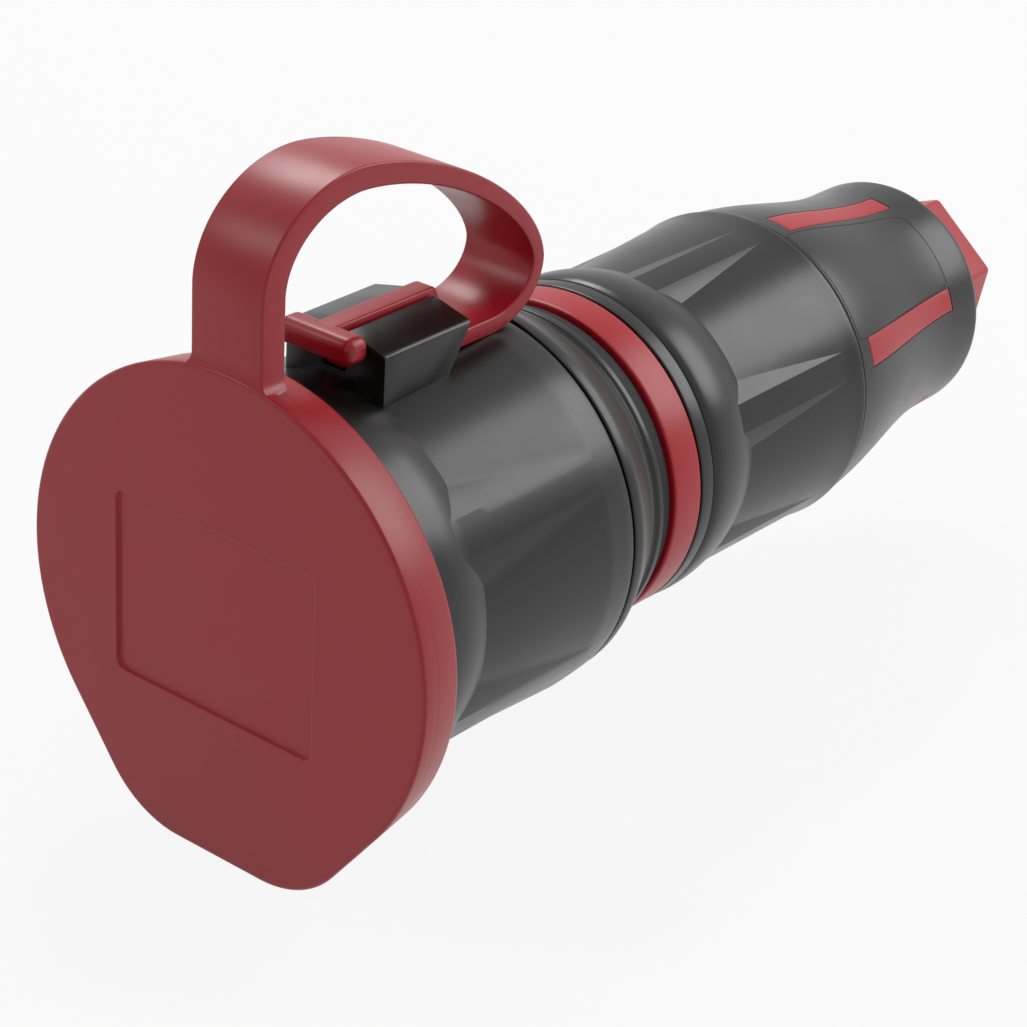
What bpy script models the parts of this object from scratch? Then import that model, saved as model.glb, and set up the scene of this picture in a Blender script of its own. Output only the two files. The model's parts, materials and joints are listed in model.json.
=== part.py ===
"""Cable socket for two-pole-and-earth plugs, with a sealing cap on a moulded strap.

The long axis of the socket lies along +Y, the mouth looks towards -Y and +Z is up.
Every position along the axis is written as a depth behind the flat face of the cap,
in millimetres.  The origin is on the axis, in the floor of the panel sunk into that face.
Meshes are made in metres.
"""
import math

import bmesh
import bpy
import numpy as np

MM = 0.001
FIT = 0.3
TURN_STEPS = 60
SMALL_STEPS = 24

# walls round the standard recess, from the inside out
RECESS_R = 19.5
RECESS_DEEP = 17.5
CARRIER_R = RECESS_R + 2.9
FRONT_BORE_R = CARRIER_R + FIT
FRONT_COLLAR_R = FRONT_BORE_R + 3.6
FRONT_TOP_R = FRONT_COLLAR_R - 0.3
COLLAR_BORE_R = FRONT_BORE_R - 3.7
TOWER_R = COLLAR_BORE_R - 1.0

# sealing cap
PANEL_DEPTH = 0.5
PANEL_X = (-17.1, 14.4)
PANEL_Z = (-13.2, 10.9)
PANEL_CORNER = 1.5
SKIRT_CLEAR = 0.9
CAP_R = FRONT_COLLAR_R + SKIRT_CLEAR + 3.8
CAP_EDGE = 0.8
CAP_PLATE = 2.6
SKIRT_DEPTH = 6.8
SKIRT_DRAFT = 0.14
LUG_FLAT = CAP_R + 1.8
LUG_TANGENT = math.radians(52.0)
LUG_CORNER_R = 14.0
LUG_CORNER_X = 6.87

# strap between the cap and the housing
STRAP_HALF = 5.4
STRAP_EDGE = 0.4
LEG_DEPTH = 2.45
LEG_FOOT_Z = CAP_R - 2.4
ARCH_LONG = 13.65
ARCH_DEPTH = LEG_DEPTH + ARCH_LONG
ARCH_SPRING_Z = CAP_R + 9.0
ARCH_RISE = 11.15
ARCH_TOP_Z = ARCH_SPRING_Z + ARCH_RISE
REAR_LONG = 32.85
REAR_DEPTH = ARCH_DEPTH + REAR_LONG
FOOT_Z = FRONT_TOP_R + 0.2
TURN_RISE = 6.4
REAR_Z = FOOT_Z + TURN_RISE
REAR_POWER = 1.6
TURN_LONG = 8.45
TURN_DEPTH = REAR_DEPTH - TURN_LONG
LEG_THICK = 3.0
REAR_THICK = 2.05
FOOT_THICK = 2.1
HINGE_AT = math.radians(60.0)
SPLIT = 0.3
WEB_HALF = 1.5
WEB_RISE = 5.75
WEB_LOW_Z = FOOT_Z + 0.1
WEB_TOP_Z = FOOT_Z + WEB_RISE
BAR_START = 14.4
BAR_LONG = 3.7
BAR_HIGH = 3.55
BAR_DEPTH = (BAR_START, BAR_START + BAR_LONG)
BAR_LOW_Z = WEB_TOP_Z - BAR_HIGH
BAR_ROUND = 0.8

# front housing
FRONT_START = CAP_PLATE + 0.5
FRONT_SHOULDER = (SKIRT_DEPTH + 4.2, FRONT_TOP_R)
FRONT_CREST_AT = FRONT_SHOULDER[0] + 4.4
FRONT_FLOOR_AT = FRONT_SHOULDER[0] + 7.3
FRONT_SCALLOPS = 29.6
FRONT_SCALLOP_END = (FRONT_SHOULDER[0] + FRONT_SCALLOPS, FRONT_SHOULDER[1] - 0.23)
FRONT_REST = 4.8
FRONT_END = FRONT_SCALLOP_END[0] + FRONT_REST
FRONT_END_R = FRONT_SHOULDER[1] - 0.5
FRONT_BEVEL = 9.4
RIB_HALF = 5.15
RIBS = 6
SHOULDER_ARC_R = 19.4
BLOCK_HALF = 7.1
BLOCK_LONG = 14.7
BLOCK_DEPTH = (BAR_DEPTH[1] + FIT, BAR_DEPTH[1] + FIT + BLOCK_LONG)
BLOCK_SUNK = 2.8
BLOCK_LOW_Z = FRONT_SHOULDER[1] - BLOCK_SUNK
BLOCK_RIDGE_Z = WEB_TOP_Z - 0.75
BLOCK_EAVE_Z = BLOCK_RIDGE_Z - 1.45
BLOCK_REAR_SLOPE = 0.63
SEAT_Z = FOOT_Z - FOOT_THICK / 2.0 - 0.25
SEAT_HALF = STRAP_HALF + 0.5
SEAT_START = BLOCK_DEPTH[1] - 4.1
FOOT_DEPTH = BLOCK_DEPTH[1] + 1.1

# contact carrier with the standard recess
CARRIER_START = FRONT_START + FIT
CARRIER_FLOOR = 4.0
PIN_X = 9.5
PIN_HOLE_R = 2.8
GUIDE_HALF = 2.5
GUIDE_REACH = RECESS_R - 2.3
GUIDE_START = CARRIER_START + 2.2
PLUG_RING_R = (RECESS_R - 2.1, RECESS_R - 0.6)
PLUG_RING_DEPTH = GUIDE_START - 0.4
SLEEVE_BORE_R = PIN_HOLE_R - 0.5
SLEEVE_R = SLEEVE_BORE_R + 0.8
SLEEVE_LONG = 7.8
CHAMBER_START = CARRIER_START + RECESS_DEEP + CARRIER_FLOOR + SLEEVE_LONG + 2.0 * FIT
STUB_R = 1.4
CLIP_HALF = 4.0
CLIP_THICK = 1.0
CLIP_LEG_Z = RECESS_R + 0.9
CLIP_TOUCH_Z = RECESS_R - 1.9
EARTH_Z = 8.5 - TOWER_R
TERMINAL = (7.0, 8.0, 8.0)
TERMINAL_BORE_R = 1.7
TOWER_END = CHAMBER_START + FIT + TERMINAL[1] + 0.4
SCREW_R = 1.3
SCREW_HEAD_R = 2.3
SCREW_HEAD = 1.5
COVER_THICK = 2.5
CARRIER_SCREW = (TOWER_R - 11.0, TOWER_R - 8.5)

# rings between the two housings, one behind the other
COLLAR_START = FRONT_END + FIT
COLLAR_SPIGOT = 2.7
COLLAR_STEP = (COLLAR_START + 1.7, FRONT_END_R - 0.1)
COLLAR_CONE = (COLLAR_STEP[0] + 5.6, COLLAR_STEP[1] - 2.5)
COLLAR_END = (COLLAR_CONE[0] + 2.2, COLLAR_CONE[1] - 0.3)
GROOVE = 0.5
SEAL_LONG = 2.5
SEAL_R = (COLLAR_BORE_R + FIT, COLLAR_BORE_R + 2.0)
SEAL_DEPTH = (COLLAR_END[0] + FIT, COLLAR_END[0] + FIT + SEAL_LONG)
LOCK_LONG = 5.4
LOCK_DEPTH = (SEAL_DEPTH[1] + FIT, SEAL_DEPTH[1] + FIT + LOCK_LONG)
LOCK_R = COLLAR_BORE_R + 3.15
BAND_LONG = 2.4
BAND_DEPTH = (LOCK_DEPTH[1] + FIT, LOCK_DEPTH[1] + FIT + BAND_LONG)
BAND_R = LOCK_R + 0.05
TUBE_WALL = 2.2
TUBE_R = (COLLAR_BORE_R - FIT - TUBE_WALL, COLLAR_BORE_R - FIT)
TUBE_BEHIND = 11.6
TUBE_DEPTH = (COLLAR_START + 0.8, BAND_DEPTH[1] + TUBE_BEHIND)

# rear housing and its inlays
REAR_START = BAND_DEPTH[1] + FIT
REAR_START_R = BAND_R - 0.2
REAR_SHOULDER = (REAR_START + 2.0, BAND_R + 0.2)
REAR_CREST_AT = REAR_SHOULDER[0] + 5.8
REAR_FLOOR_AT = REAR_SHOULDER[0] + 8.0
REAR_SCALLOPS = 29.0
REAR_SCALLOP_END = (REAR_SHOULDER[0] + REAR_SCALLOPS, REAR_SHOULDER[1] - 0.45)
REAR_BEVEL = 7.5
REAR_RIB_TURN = 9.0
RIM = (REAR_SCALLOP_END[0] + 3.5, REAR_SHOULDER[1] - 0.1)
SLEEVE_HEAD = (RIM[0] + 0.5, RIM[1] - 0.6)
WAIST_LONG = 35.0
WAIST_SWELL = 4.8
WAIST_START = REAR_SCALLOP_END[0] + 1.3
WAIST_R = REAR_SHOULDER[1] - 5.2
WAIST_REST = 5.5
REAR_END = WAIST_START + WAIST_LONG + WAIST_REST
REAR_END_ROUND = 1.5
REAR_BORE_R = COLLAR_BORE_R - 0.8
THROAT_R = WAIST_R - 4.2
THROAT_DEPTH = (WAIST_START + 1.0, WAIST_START + 13.0)
INLAY_DEPTH = (SLEEVE_HEAD[0] + 3.1, REAR_END - 7.3)
INLAY_HALF = 5.1
INLAY_GAP = 0.6
INLAY_THICK = 0.7
POCKET_DEEP = INLAY_THICK + FIT

# gland
NUT_LONG = 10.8
NUT_SUNK = 1.5
NUT_SPIGOT = 13.2
NUT_CORNER_R = THROAT_R - 0.1
NUT_TURN = 9.5
NUT_BORE_R = THROAT_R - 5.5
NUT_CHAMFER = 0.5
NUT_DEPTH = (REAR_END - NUT_SUNK, REAR_END + NUT_LONG)
NUT_SPIGOT_START = REAR_END - NUT_SPIGOT
CAGE_RING = 3.2
CAGE_DEPTH = (THROAT_DEPTH[1] + 0.6, NUT_SPIGOT_START - 0.5)
CAGE_R = (THROAT_R - 3.0, THROAT_R - 0.4)
CABLE_SEAL_R = (NUT_BORE_R - 2.0, CAGE_R[0] - FIT)
CABLE_SEAL_DEPTH = (CAGE_DEPTH[0] + 0.4, CAGE_DEPTH[1] - 0.8)

for old in list(bpy.data.objects):
    bpy.data.objects.remove(old, do_unlink=True)

pieces = bpy.data.collections.new("schuko_cable_socket")
cutters = bpy.data.collections.new("shaping_solids")
bpy.context.scene.collection.children.link(pieces)
bpy.context.scene.collection.children.link(cutters)


def surface(name, colour, roughness, metallic=0.0):
    """A plain material for one piece."""
    made = bpy.data.materials.new(name + "_surface")
    made.use_nodes = True
    shader = made.node_tree.nodes["Principled BSDF"]
    shader.inputs["Base Color"].default_value = (colour[0], colour[1], colour[2], 1.0)
    shader.inputs["Roughness"].default_value = roughness
    shader.inputs["Metallic"].default_value = metallic
    made.diffuse_color = (colour[0], colour[1], colour[2], 1.0)
    return made


RED = ((0.36, 0.03, 0.035), 0.45, 0.0)
BLACK = ((0.022, 0.022, 0.021), 0.42, 0.0)
GREY = ((0.05, 0.05, 0.052), 0.5, 0.0)
PALE = ((0.45, 0.45, 0.44), 0.5, 0.0)
BRASS = ((0.75, 0.55, 0.25), 0.3, 1.0)
STEEL = ((0.6, 0.6, 0.62), 0.3, 1.0)
RUBBER = ((0.012, 0.012, 0.012), 0.75, 0.0)


def settle(thing, look):
    """Put an object among the pieces with its own material, or among the shaping solids."""
    if look is None:
        cutters.objects.link(thing)
        thing.hide_render = True
        thing.display_type = "WIRE"
    else:
        pieces.objects.link(thing)
        thing.data.materials.append(surface(thing.name, *look))
    return thing


def solid(name, points, faces, look, origin=(0.0, 0.0, 0.0)):
    """A closed body from points (x, depth, z) in millimetres, turned to face outward."""
    origin = np.array(origin, dtype=float)
    verts = np.array(points, dtype=float) - origin
    bulk = 0.0
    for face in faces:
        for k in range(1, len(face) - 1):
            a, b, c = verts[face[0]], verts[face[k]], verts[face[k + 1]]
            bulk += float(np.dot(a, np.cross(b, c)))
    if bulk < 0.0:
        faces = [tuple(reversed(face)) for face in faces]
    mesh = bpy.data.meshes.new(name)
    mesh.from_pydata((verts * MM).tolist(), [], faces)
    mesh.shade_smooth()
    mesh.set_sharp_from_angle(angle=math.radians(28.0))
    thing = bpy.data.objects.new(name, mesh)
    thing.location = (origin[0] * MM, (origin[1] - PANEL_DEPTH) * MM, origin[2] * MM)
    return settle(thing, look)


def loft(name, rings, look, around=False, origin=(0.0, 0.0, 0.0)):
    """Rings of equal count joined in order; closed by end faces, or back onto the first ring."""
    count = len(rings[0])
    points = [p for ring in rings for p in ring]
    faces = []
    last = len(rings) if around else len(rings) - 1
    for i in range(last):
        here = i * count
        there = ((i + 1) % len(rings)) * count
        for j in range(count):
            k = (j + 1) % count
            faces.append((here + j, here + k, there + k, there + j))
    if not around:
        faces.append(tuple(reversed(range(count))))
        faces.append(tuple((len(rings) - 1) * count + j for j in range(count)))
    return solid(name, points, faces, look, origin)


def block(name, low, high, look, rounding=0.0):
    """A box between two corners (x, depth, z), its edges rounded if asked."""
    bm = bmesh.new()
    bmesh.ops.create_cube(bm, size=1.0)
    for vert in bm.verts:
        for axis in range(3):
            mid = (low[axis] + high[axis]) / 2.0
            vert.co[axis] = mid * MM + vert.co[axis] * (high[axis] - low[axis]) * MM
        vert.co[1] -= PANEL_DEPTH * MM
    if rounding:
        bmesh.ops.bevel(bm, geom=list(bm.edges), offset=rounding * MM, segments=2,
                        profile=0.5, affect="EDGES")
    mesh = bpy.data.meshes.new(name)
    bm.to_mesh(mesh)
    bm.free()
    thing = bpy.data.objects.new(name, mesh)
    return settle(thing, look)


def turned(name, profile, look, at=(0.0, 0.0, 0.0), lean=(-90.0, 0.0), steps=TURN_STEPS):
    """A profile (radius, along) spun about its own axis; lean turns that axis off +Z."""
    area = 0.0
    for (r0, a0), (r1, a1) in zip(profile, profile[1:] + profile[:1]):
        area += r0 * a1 - r1 * a0
    if area > 0.0:
        profile = list(reversed(profile))
    edges = [(i, i + 1) for i in range(len(profile) - 1)]
    if min(r for r, a in profile) > 0.0:
        edges.append((len(profile) - 1, 0))
    mesh = bpy.data.meshes.new(name)
    mesh.from_pydata([(r * MM, 0.0, a * MM) for r, a in profile], edges, [])
    thing = bpy.data.objects.new(name, mesh)
    thing.location = (at[0] * MM, (at[1] - PANEL_DEPTH) * MM, at[2] * MM)
    thing.rotation_euler = (math.radians(lean[0]), math.radians(lean[1]), 0.0)
    spin = thing.modifiers.new("spin", "SCREW")
    spin.angle = math.tau
    spin.steps = steps
    spin.render_steps = steps
    spin.axis = "Z"
    spin.use_merge_vertices = True
    spin.merge_threshold = 0.000001
    spin.use_smooth_shade = False
    return settle(thing, look)


def shape(target, tool, how):
    """Cut a solid away from a piece, or grow the piece by it."""
    step = target.modifiers.new(how.lower(), "BOOLEAN")
    step.operation = how
    step.solver = "EXACT"
    step.object = tool
    return target


def cut(target, tool):
    return shape(target, tool, "DIFFERENCE")


def grow(target, tool):
    return shape(target, tool, "UNION")


def circle(radius, depth, turns):
    """Points of one round section at the given angles (from +Z towards +X)."""
    return [(radius * math.sin(t), depth, radius * math.cos(t)) for t in turns]


def run(start, end, t):
    return start + (end - start) * t


def tube(inner, outer, depth):
    return [(inner, depth[0]), (outer, depth[0]), (outer, depth[1]), (inner, depth[1])]


def chamfered_tube(inner, outer, depth, edge):
    """A tube whose two outer edges are broken."""
    return [(inner, depth[0]), (outer - edge, depth[0]), (outer, depth[0] + edge),
            (outer, depth[1] - edge), (outer - edge, depth[1]), (inner, depth[1])]


# SEALING CAP: a plate with a skirt over the front housing and a flat-bottomed lug


def cap_edge(turn):
    """Reach of the cap's edge from the axis, at an angle from +Z."""
    low = abs(math.pi - turn)
    if low >= LUG_TANGENT:
        return CAP_R
    corner_z = LUG_CORNER_R - LUG_FLAT
    tip_x = LUG_CORNER_X + LUG_CORNER_R * math.sin(LUG_TANGENT)
    tip_z = corner_z - LUG_CORNER_R * math.cos(LUG_TANGENT)
    if low >= math.atan2(tip_x, -tip_z):
        return CAP_R / math.cos(LUG_TANGENT - low)
    if low <= math.atan2(LUG_CORNER_X, LUG_FLAT):
        return LUG_FLAT / math.cos(low)
    along = LUG_CORNER_X * math.sin(low) - corner_z * math.cos(low)
    away = LUG_CORNER_X ** 2 + corner_z ** 2
    return along + math.sqrt(LUG_CORNER_R ** 2 - away + along ** 2)


def skirt(depth):
    return CAP_R - SKIRT_DRAFT * (depth - CAP_EDGE)


def strap_centre(samples=16):
    """Middle line of the strap as rows of depth, height and thickness."""
    rows = [(LEG_DEPTH, z, LEG_THICK) for z in np.linspace(LEG_FOOT_Z, ARCH_SPRING_Z, 4)[:3]]
    for k in range(samples + 1):
        t = math.pi / 2.0 * k / samples
        rows.append((ARCH_DEPTH - (ARCH_DEPTH - LEG_DEPTH) * math.cos(t),
                     ARCH_SPRING_Z + (ARCH_TOP_Z - ARCH_SPRING_Z) * math.sin(t), LEG_THICK))
    for k in range(1, samples + 1):
        t = math.pi / 2.0 * (1.0 - k / samples)
        reach = max(math.cos(t), 0.0) ** (2.0 / REAR_POWER)
        rise = max(math.sin(t), 0.0) ** (2.0 / REAR_POWER)
        rows.append((run(ARCH_DEPTH, REAR_DEPTH, reach), run(REAR_Z, ARCH_TOP_Z, rise),
                     run(LEG_THICK, REAR_THICK, reach)))
    half = samples // 2
    for k in range(1, half + 1):
        t = math.pi / 2.0 * k / half
        rows.append((run(TURN_DEPTH, REAR_DEPTH, math.cos(t)), run(REAR_Z, FOOT_Z, math.sin(t)),
                     run(REAR_THICK, FOOT_THICK, k / half)))
    rows.append(((TURN_DEPTH + FOOT_DEPTH) / 2.0, FOOT_Z, FOOT_THICK))
    rows.append((FOOT_DEPTH, FOOT_Z, FOOT_THICK))
    return np.array(rows)


STRAP = strap_centre()


def strap_section(row, step):
    """Chamfered section of the strap, square to its middle line."""
    along = np.array(step[:2]) / math.hypot(step[0], step[1])
    out = np.array((-along[1], along[0]))
    half = row[2] / 2.0
    ring = []
    for x, n in ((STRAP_HALF, half - STRAP_EDGE), (STRAP_HALF - STRAP_EDGE, half),
                 (STRAP_EDGE - STRAP_HALF, half), (-STRAP_HALF, half - STRAP_EDGE),
                 (-STRAP_HALF, STRAP_EDGE - half), (STRAP_EDGE - STRAP_HALF, -half),
                 (STRAP_HALF - STRAP_EDGE, -half), (STRAP_HALF, STRAP_EDGE - half)):
        ring.append((x, row[0] + out[0] * n, row[1] + out[1] * n))
    return ring


def strap_rings(rows):
    steps = np.gradient(rows, axis=0)
    return [strap_section(row, step) for row, step in zip(rows, steps)]


def arch_row(t):
    return np.array((ARCH_DEPTH - (ARCH_DEPTH - LEG_DEPTH) * math.cos(t),
                     ARCH_SPRING_Z + (ARCH_TOP_Z - ARCH_SPRING_Z) * math.sin(t), LEG_THICK))


hinge_centre = arch_row(HINGE_AT)
hinge_step = arch_row(HINGE_AT + 0.001) - arch_row(HINGE_AT - 0.001)
hinge_step = hinge_step / math.hypot(hinge_step[0], hinge_step[1])
HINGE = (0.0, hinge_centre[0] - hinge_step[1] * LEG_THICK / 2.0,
         hinge_centre[1] + hinge_step[0] * LEG_THICK / 2.0)

turns = [math.radians(3.75 * k) for k in range(96)]
edge = [cap_edge(t) for t in turns]


def cap_ring(depth, radii):
    return [(r * math.sin(t), depth, r * math.cos(t)) for r, t in zip(radii, turns)]


lug_back = CAP_PLATE + 0.4
cap_rings = [
    cap_ring(0.0, [e - CAP_EDGE for e in edge]),
    cap_ring(CAP_EDGE * 0.3, [e - CAP_EDGE * 0.3 for e in edge]),
    cap_ring(CAP_EDGE, edge),
    cap_ring(CAP_PLATE - 0.4, [e if e > CAP_R else skirt(CAP_PLATE - 0.4) for e in edge]),
    cap_ring(CAP_PLATE, [max(skirt(CAP_PLATE), e - 0.5) for e in edge]),
    cap_ring(lug_back, [skirt(lug_back)] * len(turns)),
    cap_ring(SKIRT_DEPTH - 0.4, [skirt(SKIRT_DEPTH - 0.4)] * len(turns)),
    cap_ring(SKIRT_DEPTH, [skirt(SKIRT_DEPTH) - 0.4] * len(turns)),
    cap_ring(SKIRT_DEPTH, [(FRONT_COLLAR_R + SKIRT_CLEAR) + 0.4] * len(turns)),
    cap_ring(SKIRT_DEPTH - 0.4, [(FRONT_COLLAR_R + SKIRT_CLEAR)] * len(turns)),
    cap_ring(CAP_PLATE, [(FRONT_COLLAR_R + SKIRT_CLEAR)] * len(turns)),
    cap_ring(CAP_PLATE, [PLUG_RING_R[1]] * len(turns)),
    cap_ring(PLUG_RING_DEPTH, [PLUG_RING_R[1]] * len(turns)),
    cap_ring(PLUG_RING_DEPTH, [PLUG_RING_R[0]] * len(turns)),
    cap_ring(CAP_PLATE, [PLUG_RING_R[0]] * len(turns)),
]
sealing_cap = loft("sealing_cap", cap_rings, RED, origin=HINGE)

corners = []
for cx, cz, start in ((PANEL_X[1], PANEL_Z[1], 0), (PANEL_X[0], PANEL_Z[1], 1),
                      (PANEL_X[0], PANEL_Z[0], 2), (PANEL_X[1], PANEL_Z[0], 3)):
    sx = -1.0 if start in (0, 3) else 1.0
    sz = -1.0 if start in (0, 1) else 1.0
    for k in range(4):
        a = math.pi / 2.0 * (start + k / 3.0)
        corners.append((cx + sx * PANEL_CORNER + PANEL_CORNER * math.cos(a),
                        cz + sz * PANEL_CORNER + PANEL_CORNER * math.sin(a)))
panel = loft("panel_recess_tool",
             [[(x, -1.0, z) for x, z in corners], [(x, PANEL_DEPTH, z) for x, z in corners]], None)
cut(sealing_cap, panel)

arch_share = HINGE_AT / (math.pi / 2.0)
gap_turn = SPLIT / 2.0 / math.hypot((ARCH_DEPTH - LEG_DEPTH) * math.sin(HINGE_AT),
                                    (ARCH_TOP_Z - ARCH_SPRING_Z) * math.cos(HINGE_AT))
leg_count = 3 + int(math.ceil(16 * arch_share))
leg_rows = np.vstack([STRAP[:leg_count], arch_row(HINGE_AT - gap_turn)[None, :]])
leg = loft("strap_leg_tool", strap_rings(leg_rows), None)
grow(sealing_cap, leg)

# STRAP: the loop behind the flexing place, its foot, its web and its crossbar
loop_rows = np.vstack([arch_row(HINGE_AT + gap_turn)[None, :], STRAP[leg_count + 1:]])
cap_strap = loft("cap_strap", strap_rings(loop_rows), RED)
web_side = ((BAR_DEPTH[0] + 1.8, WEB_TOP_Z), (BLOCK_DEPTH[1] - 0.2, WEB_TOP_Z),
            (FOOT_DEPTH + 1.8, FOOT_Z + 0.7), (FOOT_DEPTH + 1.3, WEB_LOW_Z),
            (BLOCK_DEPTH[0] + 0.2, WEB_LOW_Z), (BAR_DEPTH[1] - 0.5, BAR_LOW_Z + 0.3),
            (BAR_DEPTH[0] + 1.8, BAR_LOW_Z + 0.6))
web = loft("strap_web_tool", [[(-WEB_HALF, d, z) for d, z in web_side],
                              [(WEB_HALF, d, z) for d, z in web_side]], None)
bar = block("strap_bar_tool", (-STRAP_HALF, BAR_DEPTH[0], BAR_LOW_Z),
            (STRAP_HALF, BAR_DEPTH[1], WEB_TOP_Z), None, BAR_ROUND)
grow(cap_strap, web)
grow(cap_strap, bar)

# HOUSINGS: round skins with six ribs standing between shallow tapering scallops


def ribbed_skin(shoulder, crest, floor, end, bevel, rib_turn, lead, tail):
    """Outer rings of a housing: plain lead rings, the shoulder, the scallops, plain tail rings."""
    rings = []

    def columns(width, crest_value, edge_value, floor_value):
        row = []
        for rib in range(RIBS):
            mid = 360.0 / RIBS * rib + rib_turn
            side = RIB_HALF + width
            row += [(mid - RIB_HALF, crest_value), (mid, crest_value), (mid + RIB_HALF, crest_value),
                    (mid + side, edge_value)]
            span = 360.0 / RIBS - 2.0 * side
            row += [(mid + side + span * k / 5.0, floor_value) for k in range(1, 5)]
            row += [(mid + 360.0 / RIBS - side, edge_value)]
        return row

    def shoulder_r(depth):
        return shoulder[1] - (depth - shoulder[0]) ** 2 / (2.0 * SHOULDER_ARC_R)

    wide = bevel + 0.5
    for depth, radius in lead + [shoulder]:
        rings.append([(radius * math.sin(math.radians(a)), depth, radius * math.cos(math.radians(a)))
                      for a, v in columns(wide, 0, 0, 0)])
    edge_start = run(crest, floor, 0.6)
    starts = columns(wide, crest, edge_start, floor)
    for share in (0.5, 1.0):
        ring = []
        for a, depth in starts:
            d = run(shoulder[0], depth, share)
            r = shoulder_r(d)
            ring.append((r * math.sin(math.radians(a)), d, r * math.cos(math.radians(a))))
        rings.append(ring)
    for share in (0.06, 0.35, 0.7, 1.0):
        width = bevel * (1.0 - share) + 0.5
        ring = []
        for (a, depth), (b, kind) in zip(starts, columns(width, 1, 0, 0)):
            d = run(depth, end[0], share)
            if kind:
                r = run(shoulder_r(crest), end[1], share)
            else:
                r = run(shoulder_r(floor), end[1], share)
            ring.append((r * math.sin(math.radians(b)), d, r * math.cos(math.radians(b))))
        rings.append(ring)
    for depth, radius in tail:
        rings.append([(radius * math.sin(math.radians(a)), depth, radius * math.cos(math.radians(a)))
                      for a, v in columns(0.5, 0, 0, 0)])
    return rings


front_rings = ribbed_skin(
    FRONT_SHOULDER, FRONT_CREST_AT, FRONT_FLOOR_AT, FRONT_SCALLOP_END, FRONT_BEVEL, 0.0,
    [(FRONT_START, FRONT_BORE_R), (FRONT_START, FRONT_COLLAR_R - 0.5),
     (FRONT_START + 0.5, FRONT_COLLAR_R)],
    [(FRONT_END - 0.3, FRONT_END_R), (FRONT_END, FRONT_END_R - 0.3), (FRONT_END, FRONT_BORE_R)])
front_housing = loft("front_housing", front_rings, BLACK, around=True)

seat = block("strap_seat_tool", (-SEAT_HALF, SEAT_START, SEAT_Z),
             (SEAT_HALF, FRONT_END + 1.0, SEAT_Z + 6.0), None)
block_side = [(-BLOCK_HALF, BLOCK_LOW_Z), (BLOCK_HALF, BLOCK_LOW_Z), (BLOCK_HALF, BLOCK_EAVE_Z - 0.4),
              (BLOCK_HALF - 0.4, BLOCK_EAVE_Z), (0.0, BLOCK_RIDGE_Z), (0.4 - BLOCK_HALF, BLOCK_EAVE_Z),
              (-BLOCK_HALF, BLOCK_EAVE_Z - 0.4)]
holder = loft("holder_block_tool",
              [[(x, BLOCK_DEPTH[0], z) for x, z in block_side],
               [(x, BLOCK_DEPTH[1] - BLOCK_REAR_SLOPE * max(BLOCK_EAVE_Z - z, 0.0), z)
                for x, z in block_side]], None)
slot = block("strap_slot_tool", (-WEB_HALF - FIT, BLOCK_DEPTH[0] - 1.0, WEB_LOW_Z - FIT),
             (WEB_HALF + FIT, BLOCK_DEPTH[1] + 2.0, BLOCK_RIDGE_Z + 2.0), None)
cut(front_housing, seat)
grow(front_housing, holder)
cut(front_housing, slot)


def waist(depth):
    """Radius of the slim sleeve between the rear rim and its end."""
    share = min(max((depth - WAIST_START) / WAIST_LONG, 0.0), 1.0)
    return WAIST_R + WAIST_SWELL * (1.0 + math.cos(math.pi * share)) / 2.0


sleeve_tail = [(d, min(waist(d), SLEEVE_HEAD[1])) for d in np.linspace(SLEEVE_HEAD[0] + 2.3, WAIST_START + WAIST_LONG, 11)]
rear_rings = ribbed_skin(
    REAR_SHOULDER, REAR_CREST_AT, REAR_FLOOR_AT, REAR_SCALLOP_END, REAR_BEVEL, REAR_RIB_TURN,
    [(REAR_START, COLLAR_BORE_R), (REAR_START, REAR_START_R)],
    [(RIM[0], RIM[1]), (SLEEVE_HEAD[0], SLEEVE_HEAD[1] + 0.3), (SLEEVE_HEAD[0] + 0.1, SLEEVE_HEAD[1])]
    + sleeve_tail
    + [(REAR_END - REAR_END_ROUND, WAIST_R), (REAR_END - 0.44, WAIST_R - 0.44),
       (REAR_END, WAIST_R - REAR_END_ROUND), (REAR_END, THROAT_R), (THROAT_DEPTH[1], THROAT_R),
       (THROAT_DEPTH[0], REAR_BORE_R), (TUBE_DEPTH[1] + 1.1, REAR_BORE_R),
       (TUBE_DEPTH[1] + 0.6, COLLAR_BORE_R)])
rear_housing = loft("rear_housing", rear_rings, BLACK, around=True)


def bar_rings(middle, half, low, high, depths):
    """Sections of a curved bar lying on the slim sleeve."""
    fan = [math.radians(middle + half * k / 2.0) for k in (-2, -1, 0, 1, 2)]
    return [circle(waist(d) + high, d, fan) + circle(waist(d) + low, d, reversed(fan))
            for d in depths]


for number in range(RIBS):
    place = REAR_RIB_TURN + 360.0 / RIBS * number
    inlay_depths = np.linspace(INLAY_DEPTH[0], INLAY_DEPTH[1], 10)
    pocket_depths = np.linspace(INLAY_DEPTH[0] - 0.2, INLAY_DEPTH[1] + 0.2, 10)
    loft("grip_inlay_%d" % (number + 1),
         bar_rings(place, INLAY_HALF, -INLAY_THICK, 0.0, inlay_depths), RED)
    pocket = loft("inlay_pocket_tool_%d" % (number + 1),
                  bar_rings(place, INLAY_HALF + INLAY_GAP, -POCKET_DEEP, 1.5, pocket_depths), None)
    cut(rear_housing, pocket)

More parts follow.
